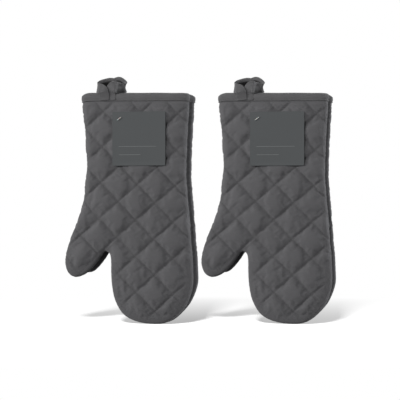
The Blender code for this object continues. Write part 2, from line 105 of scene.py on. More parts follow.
# One material or world, made from nothing but its own nodes
class Paint:
    def __init__(self, name, world=False):
        self.kept = (bpy.data.worlds if world else bpy.data.materials).new(name)
        self.kept.use_nodes = True
        self.tree = self.kept.node_tree
        self.tree.nodes.clear()

    def add(self, kind, inputs=None, out=0, **settings):
        node = self.tree.nodes.new("ShaderNode" + kind)
        for key, value in settings.items():
            setattr(node, key, value)
        for key, value in (inputs or {}).items():
            self.put(node.inputs[key], value)
        return Wire(self, node, out) if node.outputs else None

    def put(self, socket, value):
        if isinstance(value, Wire):
            self.tree.links.new(value.socket, socket)
        elif socket.type == "RGBA" and len(value) == 3:
            socket.default_value = (*value, 1.0)
        else:
            socket.default_value = value

    def noise(self, place, scale, detail=2.0, rough=0.5):
        inputs = {"Vector": place, "Scale": scale, "Detail": detail, "Roughness": rough}
        return self.add("TexNoise", inputs)

    def mix(self, share, first, second, kind="MIX"):
        return self.add("Mix", {0: share, 6: first, 7: second}, 2, data_type="RGBA", blend_type=kind)

    def bump(self, height, strength):
        return self.add("Bump", {"Height": height * mm, "Distance": 1.0, "Strength": strength})

    def tinted(self, color, light):
        shade = self.add("CombineColor", {0: light, 1: light, 2: light})
        return self.mix(1.0, color, shade, "MULTIPLY")

    def surface(self, inputs):
        self.add("OutputMaterial", {"Surface": self.add("BsdfPrincipled", inputs)})
        return self.kept


# One mitt: outline points in millimetres from the middle of its rim, down the thumb's side and
# up the other, and where the two mitts stand
mitt = {
    "outline": [
        (-77.8, -1.3), (-77.8, -10.5), (-76.9, -30.5), (-73.8, -57.9), (-71.5, -100),
        (-73.6, -130.9), (-79.6, -160.1), (-89.7, -188.1), (-100.5, -216), (-103.4, -232.1),
        (-101.5, -244.1), (-95.6, -252.6), (-86.1, -255.9), (-73.5, -252.1), (-62.4, -243.1),
        (-53.5, -231.8), (-46.6, -222.2), (-41.4, -221.3), (-37.4, -224.5), (-35.9, -233.1),
        (-35.9, -250.1), (-34.4, -270.1), (-29.7, -290), (-18.5, -308), (-1.3, -317.6),
        (22, -321.5), (45.4, -319.6), (63, -309.8), (76.5, -293.5), (83.2, -268),
        (83.5, -245), (80.6, -207), (77.2, -162), (73.8, -125.1), (73.5, -95),
        (75.2, -55), (76.9, -30.5), (77.8, -10.5), (77.8, -1.3),
    ],
    "rim": -1.3,  # height at which the panels end
    "rimPoints": 144,  # along the rim, divided by the steps to a diamond
    "square": (12, 14),  # the edge turns square to the rim above this depth, over a length
    "curveSteps": 24,
    "edgeStep": 1.9,  # between stations round the edge
    "spacing": 184.8,
    "stagger": 53,
}

# The curled edge of one half, from the side seam out and round to the face: inset and height,
# how both change with depth under the cloth, the wadding's share, and the quilting's share
curl = {
    "rows": [
        (12, 0.15, 0.35, 0, 0, 0),
        (9.6, 3.4, 0.6, 0.1, 0.2, 0.05),
        (5, 7.6, 0.8, 0.2, 0.6, 0.12),
        (1.1, 10, 1, 0.35, 0.9, 0.25),
        (0, 13.2, 1, 0.6, 1, 0.27),
        (2.4, 16.4, 0.8, 0.95, 1, 0.75),
        (8, 17.46, 0.6, 1, 1, 1),
    ],
    "steps": 3,
    "faceHeight": 17,
    "crownHeight": 1.5,
    "crownSpread": 40,
    "foldEnd": 3.2,  # painted shade darkens the fold at the side seam up to this row
    "pucker": 0.22,  # gathers along the side seam, which fade out at the binding
    "puckerLength": 7,
    "puckerDrift": 3,
    "puckerFade": (14, 10),
}

quilt = {
    "pitch": 37,  # side of a diamond
    "rise": 40,
    "fall": 45.3,
    "start": (0.1, -227.4),  # one crossing of the lines
    "reach": 14,  # diamonds laid out each way from there
    "steps": 20,  # mesh divisions along a diamond's side
    "clearShare": 0.55,  # of a division, kept clear inside the curled edge
    "shear": 0.06,  # the lines lean over below a height
    "shearFrom": -200,
    "puff": 2.05,
    "fullness": 0.55,
    "crease": 1.15,
    "creaseWidth": 1.1,
    "lineShares": (0.9, 1),  # falling and rising lines
    "lineFade": 0.35,
    "lineDrift": 1.6,
    "gather": 0.16,  # small folds that run off the sewing lines
    "gatherLength": 4.6,
    "gatherReach": 4.5,
    "gatherDrift": 2.5,
    "unevenness": 0.16,
    "sag": 0.7,
    "dent": 0.22,
    "low": (215, 25),  # below this depth the lines stop short of the edge
    "edge": (5, 14),  # by so much, over a length
    "top": (10.5, 6),  # the quilting starts under the binding
}

layers = {  # depths under the cloth's face
    "wadding": 5,
    "waddingSeam": 1,
    "waddingRim": 2,
    "waddingTaper": 20,  # length over which it thins towards the rim
    "bindingDepth": 10.5,  # below the rim
    "panelBack": 1.3,
    "liningFront": 1.6,
    "liningBack": 2.4,
}


def ramp(value, start, length):
    # from 0 at the start to 1 at the end
    return np.clip((value - start) / length, 0, 1)


def unit(rows):
    return rows / np.linalg.norm(rows, axis=-1, keepdims=True)


def rowsAt(rows, travelled, at):
    return np.array([np.interp(at, travelled, column) for column in rows.T]).T


def mirrored(rows):
    # rows up to the middle one, and back with the other sign in front
    return rows + [(-x, *rest) for x, *rest in rows[-2::-1]]


def splined(points, steps):
    # a smooth curve through rows of numbers, in so many steps from one to the next
    points = np.array(points, float)
    ends = np.vstack([2 * points[0] - points[1], points, 2 * points[-1] - points[-2]])
    out = []
    for k in range(len(points) - 1):
        p0, p1, p2, p3 = ends[k : k + 4]
        for t in np.arange(steps) / steps:
            out.append(0.5 * (2 * p1 + (p2 - p0) * t + (2 * p0 - 5 * p1 + 4 * p2 - p3) * t ** 2
                              + (3 * p1 - p0 - 3 * p2 + p3) * t ** 3))
    return np.array(out + [points[-1]])


def lengthsAlong(points):
    return np.concatenate([[0.0], np.cumsum(np.linalg.norm(np.diff(points, axis=0), axis=1))])


def inwardNormals(points):
    along = np.gradient(points, axis=0)
    return unit(np.column_stack([-along[:, 1], along[:, 0]]))


def makeOutline():
    fine = splined(mitt["outline"], mitt["curveSteps"])
    free = ramp(-fine[:, 1], *mitt["square"])[:, None]
    square = np.column_stack([-np.sign(fine[:, 0]), np.zeros(len(fine))])
    normals = unit(inwardNormals(fine) * free + square * (1 - free))
    # stations are even on the outline or on the face's edge, whichever is longer there
    inner = fine + normals * curl["rows"][-1][0]
    longer = np.maximum(np.diff(lengthsAlong(fine)), np.diff(lengthsAlong(inner)))
    travelled = np.concatenate([[0.0], np.cumsum(longer)])
    even = np.linspace(0.0, travelled[-1], round(travelled[-1] / mitt["edgeStep"]))
    return rowsAt(fine, travelled, even), unit(rowsAt(normals, travelled, even))


stations, normals = makeOutline()
profile = splined([row[:2] for row in curl["rows"]], curl["steps"])
lastRow = len(curl["rows"]) - 1
parts = np.arange(curl["steps"]) / curl["steps"]
rowPlace = np.append(np.add.outer(np.arange(lastRow), parts), lastRow)
profileShares = rowsAt(np.array(curl["rows"])[:, 2:], range(lastRow + 1), rowPlace)
profileOut = inwardNormals(profile)
profileReach = lengthsAlong(profile)  # along the cloth from the side seam
print(f"outline: {len(stations)} stations, {len(profile)} rings")


def crown(distance):
    return curl["crownHeight"] * np.sin(ramp(distance, 0, curl["crownSpread"]) * np.pi / 2)


def distanceTo(points, line):
    nearest = np.full(len(points), np.inf)
    for start, step in zip(line[:-1], np.diff(line, axis=0)):
        t = np.clip(((points - start) @ step) / max(step @ step, 1e-12), 0, 1)
        nearest = np.minimum(nearest, np.linalg.norm(points - start - t[:, None] * step, axis=1))
    return nearest


def insideOf(points, loop):
    hit = np.zeros(len(points), bool)
    for a, b in zip(loop, np.roll(loop, -1, axis=0)):
        spans = (a[1] > points[:, 1]) != (b[1] > points[:, 1])
        if abs(b[1] - a[1]) > 1e-12:
            cross = a[0] + (b[0] - a[0]) * (points[:, 1] - a[1]) / (b[1] - a[1])
            hit ^= spans & (points[:, 0] < cross)
    return hit


# Quilting lines: a diamond's side along the two directions
def diamondSide(degrees):
    return quilt["pitch"] * np.array([math.cos(math.radians(degrees)), math.sin(math.radians(degrees))])


riseStep, fallStep = diamondSide(quilt["rise"]), diamondSide(-quilt["fall"])
latticeArea = riseStep[0] * fallStep[1] - riseStep[1] * fallStep[0]
lineGap = abs(latticeArea) / quilt["pitch"]  # between neighbouring lines of one direction


def leaning(flat, way):
    shift = quilt["shear"] * np.maximum(0.0, quilt["shearFrom"] - flat[:, 1])
    return np.column_stack([flat[:, 0] + way * shift, flat[:, 1]])


def diamondCounts(flat):
    # how many diamonds a point is from the start along the two directions
    off = leaning(flat, -1) - quilt["start"]
    a = (off[:, 0] * fallStep[1] - off[:, 1] * fallStep[0]) / latticeArea
    b = (riseStep[0] * off[:, 1] - riseStep[1] * off[:, 0]) / latticeArea
    return a, b


def grain(flat, size, seed):
    # smooth noise from -1 to 1 over the flat cloth
    return np.array([noise.noise((x / size, z / size, seed)) for x, z in flat])


def quiltRelief(flat, edge):
    # how far the cloth stands off its sewing lines, and how near a sewing line it is;
    # the lines die out towards the edge at the thumb's tip and the finger end
    low = ramp(-flat[:, 1], *quilt["low"])
    sewn = 1 - low * (1 - ramp(edge, *quilt["edge"]))
    a, b = diamondCounts(flat)
    swell = np.abs(np.sin(np.pi * a) * np.sin(np.pi * b)) ** quilt["fullness"]
    uneven = np.sin(np.floor(a) * 12.9898 + np.floor(b) * 78.233)  # differs from cell to cell
    relief = quilt["puff"] * swell * (1 + quilt["unevenness"] * uneven)
    nearA, nearB = (np.abs(count - np.round(count)) * lineGap for count in (a, b))
    wobble = grain(flat, 9.0, 3.1)
    for near, travel, seed in ((nearA, b, 5.7), (nearB, a, 8.3)):
        phase = travel * quilt["pitch"] / quilt["gatherLength"] * 2 * np.pi
        waves = np.sin(phase + quilt["gatherDrift"] * grain(flat, 22.0, seed))
        reach = near / quilt["gatherReach"]
        relief += quilt["gather"] * waves * (0.6 + 0.8 * wobble) * reach * np.exp(1 - reach)
    creases = 0.0
    for near, share, seed in zip((nearA, nearB), quilt["lineShares"], (11.9, 14.2)):
        share = share * (1 - quilt["lineFade"] * (1 + quilt["lineDrift"] * grain(flat, 26.0, seed)))
        creases = np.maximum(creases, share * np.exp(-(near / quilt["creaseWidth"]) ** 2))
    relief -= quilt["crease"] * creases
    relief += quilt["sag"] * grain(flat, 60.0, 1.7) + quilt["dent"] * grain(flat, 14.0, 4.4) * swell
    fade = ramp(-flat[:, 1], *quilt["top"])
    fade = fade * fade * (3 - 2 * fade) * sewn
    return relief * fade, creases * fade, swell * fade


def depthIn(z, firm, share=1.0):
    # what lies under the face lies under the wadding too
    if firm <= 0:
        return firm + 0 * z
    swollen = ramp(-z, layers["bindingDepth"], layers["waddingTaper"])
    wadding = layers["waddingRim"] + (layers["wadding"] - layers["waddingRim"]) * swollen
    return firm + layers["waddingSeam"] + (wadding - layers["waddingSeam"]) * share


def cellCorners(i, j):
    return [(i, j), (i + 1, j), (i + 1, j + 1), (i, j + 1)]


def openEdges(faces):
    # edges that only one face has
    uses = {}
    for face in faces:
        for edge in zip(face, face[1:] + face[:1]):
            uses.setdefault(frozenset(edge), []).append(edge)
    return [found[0] for found in uses.values() if len(found) == 1]


def faceInside(loop, steps):
    # points of the quilting lattice inside the loop, and faces over the loop's points and these
    far = quilt["reach"] * steps
    ij = np.indices((2 * far, 2 * far)).reshape(2, -1).T - far
    places = leaning(quilt["start"] + (ij[:, :1] * riseStep + ij[:, 1:] * fallStep) / steps, 1)
    inBox = ((places > loop.min(0)) & (places < loop.max(0))).all(1)
    ij, places = ij[inBox], places[inBox]
    clear = distanceTo(places, np.vstack([loop, loop[:1]]))
    keep = insideOf(places, loop) & (clear > quilt["pitch"] / steps * quilt["clearShare"])
    places = places[keep]
    number = {tuple(key): k for k, key in enumerate(ij[keep])}
    cells = {cell: cellCorners(*cell) for cell in number if set(cellCorners(*cell)) <= number.keys()}
    first = len(loop)
    faces = [tuple(first + number[key] for key in corners) for corners in cells.values()]
    # triangles between the whole cells and the loop
    edges = openEdges(cells.values())
    whole = {key for corners in cells.values() for key in corners}
    inner = sorted({key for edge in edges for key in edge} | (set(number) - whole))
    innerAt = {key: first + k for k, key in enumerate(inner)}
    flat = [Vector(p) for p in loop] + [Vector(places[number[key]]) for key in inner]
    made = delaunay_2d_cdt(flat, [(innerAt[a], innerAt[b]) for a, b in edges],
                           [list(range(first))], 1, 1e-5)
    ids = list(range(first)) + [first + number[key] for key in inner]
    for face in made[2]:
        middle = sum((made[0][v] for v in face), Vector((0, 0))) / 3
        a, b = diamondCounts(np.array([middle]))
        if (math.floor(a[0] * steps), math.floor(b[0] * steps)) not in cells:
            faces.append(tuple(ids[made[3][v][0]] for v in face))
    return places, faces


# marks on the cloth: crease and swell also steer the filling; from all three the material paints shade
# in creases, hollows and folds, and light on the puffs
markNames = ("crease", "swell", "fold")


# A surface of one half: rings round the curled edge, then the face inside them
def halfSurface(firm, every, ringEvery, steps, quilted):
    keptS = sorted({*range(0, len(stations), every), len(stations) - 1})
    keptR = sorted({*range(0, len(profile), ringEvery), len(profile) - 1})
    base, inward = stations[keptS], normals[keptS]
    drift = curl["puckerDrift"] * grain(base, 30.0, 6.6)
    gathers = curl["pucker"] * np.sin(lengthsAlong(base) / curl["puckerLength"] * 2 * np.pi + drift)
    fade = ramp(-base[:, 1], *curl["puckerFade"])
    points, flats, marks = [], [], []
    for r in keptR:
        inset, height = profile[r]
        insetRate, sinkRate, waddingShare, puffShare = profileShares[r]
        depth = depthIn(base[:, 1], firm, waddingShare)
        place = base + inward * (inset + insetRate * depth)[:, None]
        height = height - sinkRate * depth
        reach = profile[-1][0] - (profileReach[-1] - profileReach[r])
        flat = base + inward * reach
        if quilted:
            relief, crease, swell = quiltRelief(flat, reach)
            sideways = gathers * (1 - rowPlace[r] / lastRow) * fade
            amount = relief * puffShare + sideways * min(rowPlace[r], 1.0)
            place = place + inward * (profileOut[r][0] * amount)[:, None]
            height = height + profileOut[r][1] * amount
            # mark for painted shade in the fold beside the side seam
            fold = np.full(len(base), np.clip(curl["foldEnd"] - rowPlace[r], 0, 1))
            marks.append([crease * puffShare, swell * puffShare, fold])
        points.append(np.column_stack([place[:, 0], height, place[:, 1]]))
        flats.append(flat)
    border = points[-1][:, [0, 2]]
    count = max(3, round(mitt["rimPoints"] / steps))
    rimX = np.linspace(border[0, 0], border[-1, 0], count)[-2:0:-1]
    rim = np.column_stack([rimX, np.full(len(rimX), base[0, 1])])
    places, inner = faceInside(np.vstack([border, rim]), steps)
    width, rings = len(keptS), len(keptR)
    last = (rings - 1) * width
    faces = [tuple(last + v for v in face) for face in inner]
    for a in range(last):
        if a % width < width - 1:
            faces.append((a, a + 1, a + width + 1, a + width))
    free = np.vstack([rim, places])
    edge = distanceTo(free, stations)
    height = curl["faceHeight"] + crown(edge) - depthIn(free[:, 1], firm)
    if quilted:
        relief, crease, swell = quiltRelief(free, edge)
        height = height + relief
        marks.append([crease, swell, np.zeros(len(free))])
    points.append(np.column_stack([free[:, 0], height, free[:, 1]]))
    flats.append(free)
    start, end = ([r * width + s for r in range(rings)] for s in (0, width - 1))
    along = [last + width + k for k in range(len(rim))]
    made = {"points": np.vstack(points), "flats": np.vstack(flats), "faces": faces}
    made["sides"] = [list(range(width)), end, [end[-1], *along, start[-1]], start[::-1]]
    return made | (dict(zip(markNames, np.hstack(marks))) if quilted else {})


def zipped(a, b):
    # triangles between two rows of points of different counts
    faces, i, j = [], 0, 0
    while i < len(a) - 1 or j < len(b) - 1:
        if j == len(b) - 1 or i < len(a) - 1 and (i + 1) / (len(a) - 1) <= (j + 1) / (len(b) - 1):
            faces.append((a[i], a[i + 1], b[j]))
            i += 1
        else:
            faces.append((a[i], b[j + 1], b[j]))
            j += 1
    return faces


def closedHalf(outer, inner):
    # the outer and inner surfaces of one layer, joined round their edges
    shift = len(outer["points"])
    faces = list(outer["faces"]) + [tuple(v + shift for v in face) for face in inner["faces"]]
    for a, b in zip(outer["sides"], inner["sides"]):
        faces += zipped(a, [v + shift for v in b])
    return np.vstack([outer["points"], inner["points"]]), faces


def tubeFaces(rows, sides, first=0):
    # walls between rings of points, then the two ends
    last = first + (rows - 1) * sides
    faces = []
    for a in range(first, last, sides):
        for k in range(sides):
            b = a + (k + 1) % sides
            faces.append((a + k, b, b + sides, a + k + sides))
    return faces + [tuple(range(first, first + sides)), tuple(range(last, last + sides))]


def ringRound(centre, one, two, radius, sides):
    turns = 2 * math.pi * np.arange(sides) / sides
    return [centre + (one * math.cos(t) + two * math.sin(t)) * radius for t in turns]


def facingOut(mesh):
    shape = bmesh.new()
    shape.from_mesh(mesh)
    bmesh.ops.recalc_face_normals(shape, faces=shape.faces)
    shape.to_mesh(mesh)
    shape.free()
    return mesh


def makeMesh(name, points, faces, flats, marks=None):
    mesh = bpy.data.meshes.new(name)
    mesh.from_pydata((np.array(points) * mm).tolist(), [], faces)
    mesh.validate()
    for label, values in (marks or {}).items():
        layer = mesh.attributes.new(label, "FLOAT", "POINT")
        layer.data.foreach_set("value", np.array(values, np.float32))
    layer = mesh.uv_layers.new(name="cloth")
    corners = [loop.vertex_index for loop in mesh.loops]
    layer.data.foreach_set("uv", (np.array(flats)[corners] / 100).astype(np.float32).ravel())
    mesh.shade_smooth()
    return facingOut(mesh)


halves = {"Front": 1, "Back": -1}

rimSag = {
    "depth": 26,
    "corner": (66, 12),  # a corner dips from so far from the middle, over a length
    "dips": {1: (3.2, 0.9), -1: (0.9, 3)},  # by half: at the thumb's side, at the other side
    "slope": 0.016,
}

# The two faces do not lie quite over each other: middle, reach and shift of each, by half
slips = {
    1: [(-92, -250, 40, -1.6, -2.4), (72, -306, 42, -1.9, 1.6)],
    -1: [(-90, -262, 26, 1, 6.5), (74, -306, 46, -4.2, 4.4)],
}


def turned(points, side):
    # the front half faces -Y, the back half +Y; the rim dips at its corners
    points = np.array(points) * (1, -side, 1)
    share = np.clip(1 + points[:, 2] / rimSag["depth"], 0, 1)
    corner = ramp(np.abs(points[:, 0]), *rimSag["corner"])
    dips = np.where(points[:, 0] < 0, *rimSag["dips"][side])
    points[:, 2] -= share * (dips * corner ** 2 + rimSag["slope"] * points[:, 0])
    off = ramp(np.abs(points[:, 1]), 0, curl["faceHeight"])
    flat = points[:, [0, 2]].copy()
    for x, z, reach, dx, dz in slips[side]:
        near = np.clip(1 - ((flat - (x, z)) ** 2).sum(1) / reach ** 2, 0, 1) ** 2 * off
        points[:, 0] += dx * near
        points[:, 2] += dz * near
    return points


apart = Vector((mitt["spacing"], mitt["stagger"], 0)) * mm / 2
mittPlaces = {"left": -apart, "right": apart}


def added(name, data, at=(0, 0, 0)):
    made = bpy.data.objects.new(name, data)
    scene.collection.objects.link(made)
    made.location = at
    return made


def place(name, mesh, material, at):
    if not mesh.materials:
        mesh.materials.append(material)
    return added(name, mesh, at)


clothFinish = {
    "color": (0.0890, 0.0880, 0.0925),
    "threadPitch": 0.62,
    "weaveDepth": 0.045,
    "fuzzDepth": 0.05,
    "roughness": 0.93,
    "sheen": 0.12,
    "paintedCreaseShade": 0.25,
    "paintedHollowShade": 0.96,
    "paintedPuffLight": 0.08,
    "paintedFoldShade": 0.42,
}


def clothMaterial(name, values, paintedShade=False):
    paint = Paint(name)
    flat = paint.add("UVMap", uv_map="cloth")
    split = paint.add("SeparateXYZ", {0: flat})
    solid = paint.add("TexCoord").of("Object")
    drift = paint.noise(flat, 9.0, 2.0)  # threads wander a little
    turn = 2 * math.pi * 100 / values["threadPitch"]
    across = (split * turn + drift * 5.0).sine()
    along = (split.of("Y") * turn + drift * 7.0).sine()
    weave = across * along
    fuzz = paint.noise(solid, 1500.0, 3.0, 0.7)
    slub = paint.noise(paint.add("Mapping", {"Vector": solid, "Scale": (1.0, 1.0, 6.0)}),
                       160.0, 3.0, 0.6)
    patches = paint.noise(solid, 24.0, 3.0, 0.55)
    wrinkle = paint.noise(solid, 90.0, 3.0, 0.6)
    light = (1.0 + weave * 0.06 + (fuzz - 0.5) * 0.35 + (slub - 0.5) * 0.16
             + (patches - 0.5) * 0.22)
    height = weave * values["weaveDepth"] + fuzz * values["fuzzDepth"] + wrinkle * 0.22
    # the marks paint shade and light into the colour
    if paintedShade:
        crease, swell, fold = (paint.add("Attribute", attribute_name=key).of("Fac")
                               for key in markNames)
        # painted shade along the sewing lines
        light = light * (1.0 - crease * values["paintedCreaseShade"])
        # painted shade in the hollows and painted light on the puffs
        light = light * (values["paintedHollowShade"] + swell * values["paintedPuffLight"])
        # painted shade in the fold at the side seam
        light = light * (1.0 - fold * values["paintedFoldShade"])
    rough = (values["roughness"] + (fuzz - 0.5) * 0.1).clipped()
    return paint.surface({"Base Color": paint.tinted(values["color"], light),
                          "Roughness": rough, "Normal": paint.bump(height, 0.9),
                          "Sheen Weight": values["sheen"], "Sheen Roughness": 0.55,
                          "Specular IOR Level": 0.25})


liningFinish = clothFinish | {"color": (0.15, 0.15, 0.155), "sheen": 0.1}
tapeFinish = clothFinish | {"color": (0.0945, 0.0935, 0.0970), "threadPitch": 0.5}
threadFinish = clothFinish | {"color": (0.088, 0.087, 0.090), "threadPitch": 0.3, "roughness": 0.75}
cotton = clothMaterial("quiltedCotton", clothFinish, True)
liningCloth = clothMaterial("liningCotton", liningFinish)
tapeCloth = clothMaterial("bindingTape", tapeFinish)
loopCloth = clothMaterial("loopTape", tapeFinish, True)
sewingThread = clothMaterial("sewingThread", threadFinish)


# The wadding fills the cloth between its sewing lines
filling = {
    "frames": 20,
    "cloth": {
        "quality": 6,
        "mass": 0.02,
        "tension_stiffness": 12,
        "compression_stiffness": 12,
        "shear_stiffness": 4,
        "bending_stiffness": 0.3,
        "vertex_group_mass": "sewn",
        "pin_stiffness": 1,
        "use_pressure": True,
        "uniform_pressure_force": 5,
        "shrink_min": -0.033,  # grows, so that it has cloth to swell with
    },
    "furthest": 1.3,
    "heldBy": 0.45,  # crease above which the cloth is sewn down
    "free": (14, 8),  # depth from which it can move, and over what length
    "swellGain": 4,
    # the card lies on the cloth and presses it flat
    "pressedMiddle": (7.6, -63.5),
    "pressed": 39,
    "pressedTo": 21,
    "pressedSlope": 0.5,
}


def filled(surface):
    points = surface["points"] * mm
    mesh = bpy.data.meshes.new("filling")
    mesh.from_pydata(points.tolist(), [], surface["faces"])
    cloth = added("filling", facingOut(mesh))
    free = ramp(-points[:, 2] / mm, *filling["free"])
    free = free * np.clip(surface["swell"] * filling["swellGain"], 0, 1)
    held = np.maximum(ramp(surface["crease"], 0, filling["heldBy"]) ** 2, 1 - free)
    group = cloth.vertex_groups.new(name="sewn")
    for k, weight in enumerate(held):
        group.add([k], float(weight), "REPLACE")
    modifier = cloth.modifiers.new("cloth", "CLOTH")
    for key, value in filling["cloth"].items():
        setattr(modifier.settings, key, value)
    modifier.settings.effector_weights.gravity = 0.0
    modifier.collision_settings.use_collision = False
    modifier.point_cache.frame_end = filling["frames"]
    for step in range(filling["frames"]):
        scene.frame_set(1 + step)
    settled = cloth.evaluated_get(bpy.context.evaluated_depsgraph_get()).to_mesh()
    move = (np.array([v.co for v in settled.vertices]) - points) / mm
    length = np.linalg.norm(move, axis=1)
    print("filling: moves", np.percentile(length, (5, 50, 95, 100)).round(2).tolist())
    move *= np.minimum(1.0, filling["furthest"] / np.maximum(length, 1e-6))[:, None]
    bpy.data.objects.remove(cloth)
    scene.frame_set(1)
    points = surface["points"] + move
    off = np.maximum(0.0, np.abs(points[:, [0, 2]] - filling["pressedMiddle"]) - filling["pressed"])
    limit = filling["pressedTo"] + np.linalg.norm(off, axis=1) * filling["pressedSlope"]
    points[:, 1] = np.minimum(points[:, 1], limit)
    return points


# Quilted panels and the lining behind them
def makeHalves():
    outer = halfSurface(0, 1, 1, quilt["steps"], True)
    outer["points"] = filled(outer)
    back = halfSurface(layers["panelBack"], 6, 4, 2, False)
    linings = [halfSurface(layers[key], 3, 2, 6, False) for key in ("liningFront", "liningBack")]
    hidden = np.zeros(len(back["points"]))
    marks = {key: np.concatenate([outer[key], hidden]) for key in markNames}
    meshes = {}
    for half, side in halves.items():
        for label, pair, shades in (("Panel", (outer, back), marks), ("Lining", linings, None)):
            points, faces = closedHalf(*pair)
            flats = np.vstack([surface["flats"] for surface in pair])
            meshes[half + label] = makeMesh(half + label, turned(points, side), faces, flats, shades)
    return meshes, outer


halfMeshes, outerSurface = makeHalves()
for hand, at in mittPlaces.items():
    for half in halves:
        low = half.lower()
        panel = place(f"{hand}{half}Panel", halfMeshes[half + "Panel"], cotton, at)
        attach(panel, f"{hand}_mitt")
        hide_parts(f"{hand}_{low}_shell", f"{hand}_{low}_wadding")
        inside = place(f"{hand}{half}Lining", halfMeshes[half + "Lining"], liningCloth, at)
        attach(inside, f"{hand}_mitt")
        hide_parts(f"{hand}_{low}_lining")
print("panels:", len(halfMeshes["FrontPanel"].vertices), "points each")


# Binding: one strip of tape over the rim of each half
binding = {
    # rows of the tape's outer side: share of the way from the front leg to the back one,
    # how far the row stands off its leg, and height
    "outer": [
        (0, 0.75, -10.9), (0, 1.35, -10.6), (0, 1.45, -9.9), (0, 0.95, -8.9),
        (0, 1.5, -7.8), (0, 1.75, -5.5), (0, 1.65, -3), (0, 1.35, -1.3),
        (0.06, 0.9, -0.3), (0.22, 0, 0.35), (0.5, 0, 0.55), (0.78, 0, 0.35),
        (0.94, 0.9, -0.3), (1, 1.3, -1.5), (1, 1.4, -5.5), (1, 1.2, -9.5), (1, 1, -10.7),
    ],
    "thickness": 0.9,
    "leastOff": 0.25,
    "gap": 0.3,  # behind the lining
    "points": 62,  # across the face
    "wave": 0.3,
    "waves": ((28, 2.2), (13, 7.7)),  # length and seed, along the rim and in thickness
    "sewnWave": 0.4,
    "thinEnd": 0.15,  # at the side seam
    "thinLength": 7,
    "stitchHeight": -8.9,
    "stitchOff": 0.98,
    "stitchLength": 2.2,
    "stitchPitch": 2.9,
}


def rimPlaces():
    # along one half at its rim: a station and a row of the curled edge, or a place on the face
    rows = range(len(profile))
    reachX = mitt["outline"][0][0] + curl["rows"][-1][0]
    across = [(x, None) for x in np.linspace(reachX, -reachX, binding["points"])[1:-1]]
    return [(0, r) for r in rows] + across + [(len(stations) - 1, r) for r in reversed(rows)]


def rimPoint(where, firm):
    at, r = where
    rim = np.array([mitt["rim"]])
    if r is None:
        height = curl["faceHeight"] + crown(-mitt["outline"][0][0] - abs(at))
        return np.array([at, height - depthIn(rim, firm)[0]])
    insetRate, sinkRate, waddingShare, _ = profileShares[r]
    depth = depthIn(rim, firm, waddingShare)[0]
    inset = profile[r][0] + insetRate * depth
    return np.array([stations[at][0] + normals[at][0] * inset, profile[r][1] - sinkRate * depth])


def bindingMesh():
    path = rimPlaces()
    thick = binding["thickness"]
    rows = binding["outer"] + [
        (f, max(off - thick, binding["leastOff"]), z - (thick if 0 < f < 1 else 0))
        for f, off, z in reversed(binding["outer"][1:-1])]
    fronts = np.array([rimPoint(where, 0) for where in path])
    points, flats = [], []
    for where, front, travelled in zip(path, fronts, lengthsAlong(fronts)):
        edge = min(1.0, max(binding["thinEnd"], abs(front[1]) / binding["thinLength"]))
        lift, bulge = (binding["wave"] * noise.noise((travelled / length, seed, 0))
                       for length, seed in binding["waves"])
        for k, (f, off, z) in enumerate(rows):
            swell = (off + (bulge if f == 0 else 0)) * edge
            a = rimPoint(where, -swell)
            b = rimPoint(where, layers["liningBack"] + binding["gap"] + swell)
            x, y = a * (1 - f) + b * f
            points.append((x, y, z + lift * (1 if z > -3 else binding["sewnWave"])))
            flats.append((travelled, 1.1 * (k + 1)))
    return points, tubeFaces(len(path), len(rows)), flats


bindingPoints, bindingFaces, bindingFlats = bindingMesh()
bindingMeshes = {
    half: makeMesh(half + "Binding", turned(bindingPoints, side), bindingFaces, bindingFlats)
    for half, side in halves.items()}
for hand, at in mittPlaces.items():
    for half in halves:
        strip = place(f"{hand}{half}Binding", bindingMeshes[half], tapeCloth, at)
        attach(strip, f"{hand}_mitt")
        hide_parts(f"{hand}_{half.lower()}_binding")
print("binding:", len(bindingPoints), "points each")


# Stitches: short threads that lie on the cloth and dip into it at their ends
stitch = {
    "pitch": 3.5,
    "length": 2.75,
    "radius": 0.23,
    # share of the length from the middle, share of the radius, and height
    "sections": mirrored([(-0.5, 0.45, -0.28), (-0.3, 1, 0.05), (0, 1.1, 0.12)]),
    "sides": 5,
    "belowBinding": 1.2,
    "facing": 0.45,  # they end where the cloth turns to the side seam
    "lowest": 12,
    "fewest": 8,
}


def stitchMesh(name, rows, side, length, pitch):
    # rows of (point, outward) along each seam, close together
    points, faces, flats = [], [], []
    sides = stitch["sides"]
    for row in rows:
        places, outs = (np.array(part) for part in zip(*row))
        travelled = lengthsAlong(places)
        for middle in np.arange(pitch / 2, travelled[-1] - length / 2, pitch):
            ends = rowsAt(places, travelled, middle + length * np.array([-0.5, 0.5]))
            along = unit(ends[1] - ends[0])
            out = rowsAt(outs, travelled, middle)
            out = unit(out - along * (out @ along))
            third = np.cross(along, out)
            faces += tubeFaces(len(stitch["sections"]), sides, len(points))
            for share, size, lift in stitch["sections"]:
                centre = rowsAt(places, travelled, middle + share * length) + out * lift
                points += ringRound(centre, out, third, stitch["radius"] * size, sides)
                flats += [(share * length, k) for k in range(sides)]
    return makeMesh(name, turned(points, side), faces, flats)


def quiltSeams(surface):
    # each sewing line where it lies on the face
    tree = BVHTree.FromPolygons([Vector(p) for p in surface["points"]], surface["faces"])
    reach = quilt["reach"]
    travel = np.arange(-reach, reach, 0.02)[:, None]
    rows = []
    for fixed in range(-reach, reach):
        for one, other in ((riseStep, fallStep), (fallStep, riseStep)):
            row = []
            for x, z in leaning(quilt["start"] + one * fixed + other * travel, 1):
                hit, normal, _, _ = tree.ray_cast((x, 60, z), (0, -1, 0))
                low = z < -layers["bindingDepth"] - stitch["belowBinding"]
                if low and hit and hit.y > stitch["lowest"] and abs(normal.y) > stitch["facing"]:
                    row.append((np.array(hit), np.array(normal if normal.y > 0 else -normal)))
                elif row:
                    rows.append(row)
                    row = []
    return [row for row in rows if len(row) > stitch["fewest"]]


